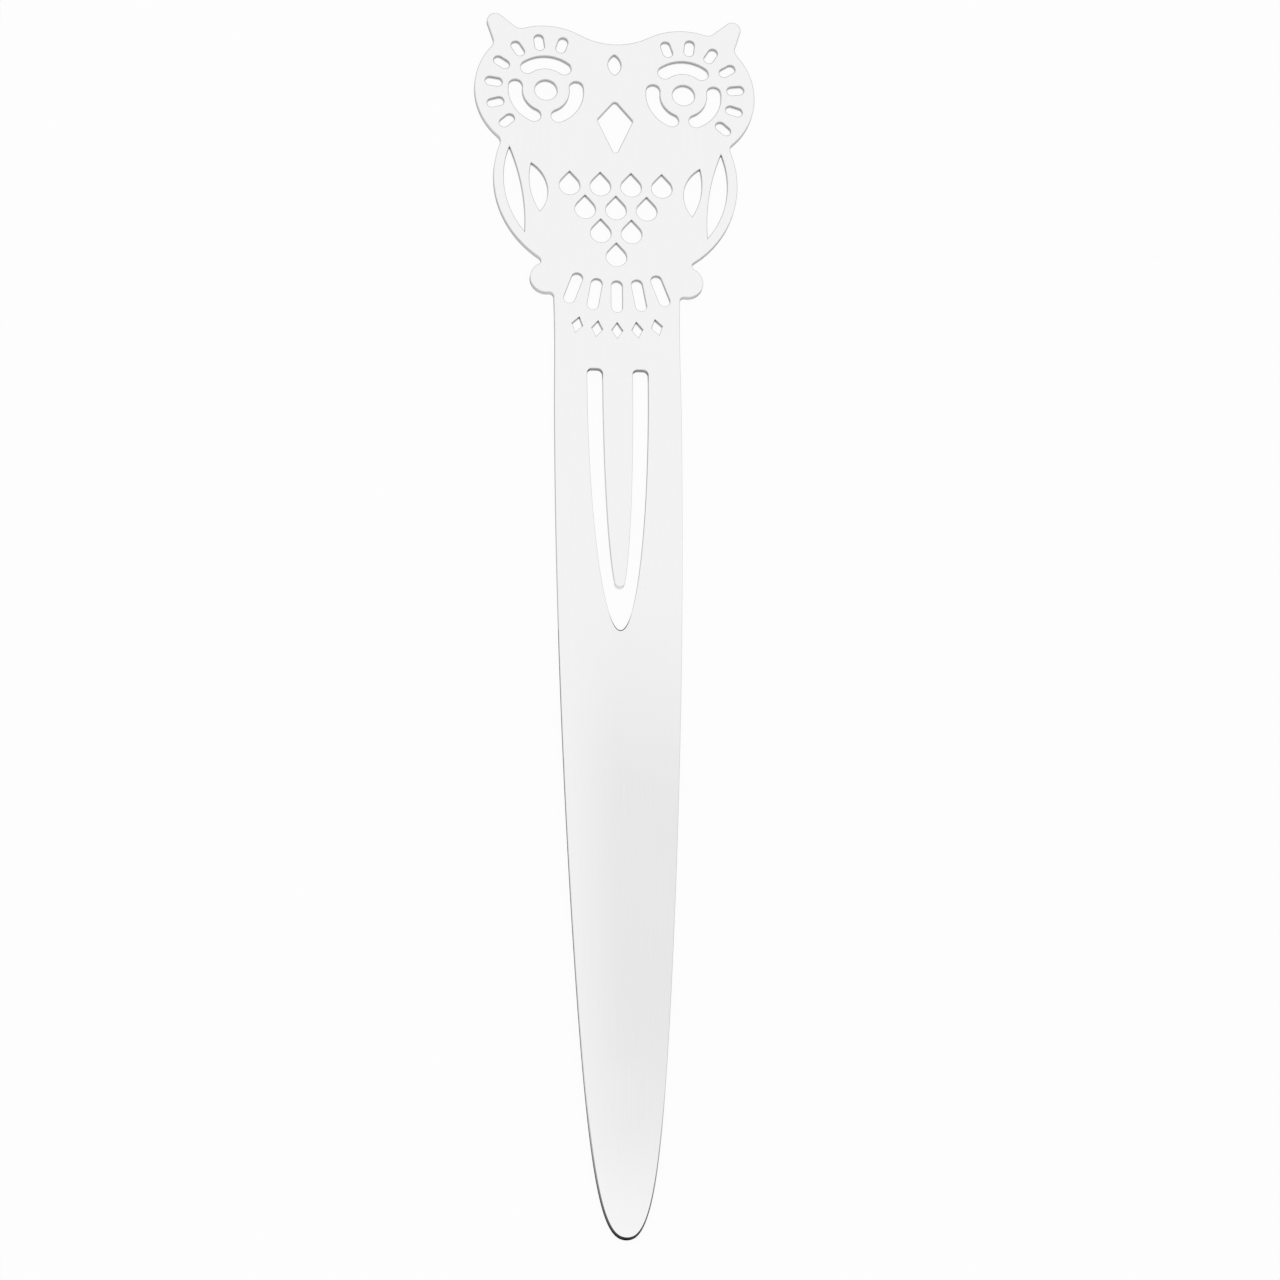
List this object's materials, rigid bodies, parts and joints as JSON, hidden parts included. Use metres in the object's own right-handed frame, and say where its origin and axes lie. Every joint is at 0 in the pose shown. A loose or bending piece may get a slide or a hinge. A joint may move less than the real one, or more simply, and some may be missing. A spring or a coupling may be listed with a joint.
{
  "type": "sheet metal bookmark",
  "caption": "Flat sheet-steel bookmark and paper knife: a pierced owl at the top, a sprung tongue in a slot that clips a page, and a tapering blade with a round nose.",
  "frame": {"origin": "middle of the sheet's length and width, on the back face that it lies on", "axes": "+X across the sheet, +Y along it towards the owl, +Z out of the front face"},
  "size_m": [0.033, 0.15, 0.0008],
  "materials": {
    "steel": "bright satin stainless sheet"
  },
  "bodies": {
    "sheet": {"bookmark_plate": "steel"},
    "tongue": {"clip_tongue": "steel"}
  },
  "joints": [
    {"name": "tongue_flex", "type": "hinge", "parent": "sheet", "child": "tongue", "pos_m": [0, 0.02491, 0.0008], "axis": [-1, 0, 0], "range_deg": [0, 8], "stiffness_Nm_per_rad": 2.06}
  ]
}
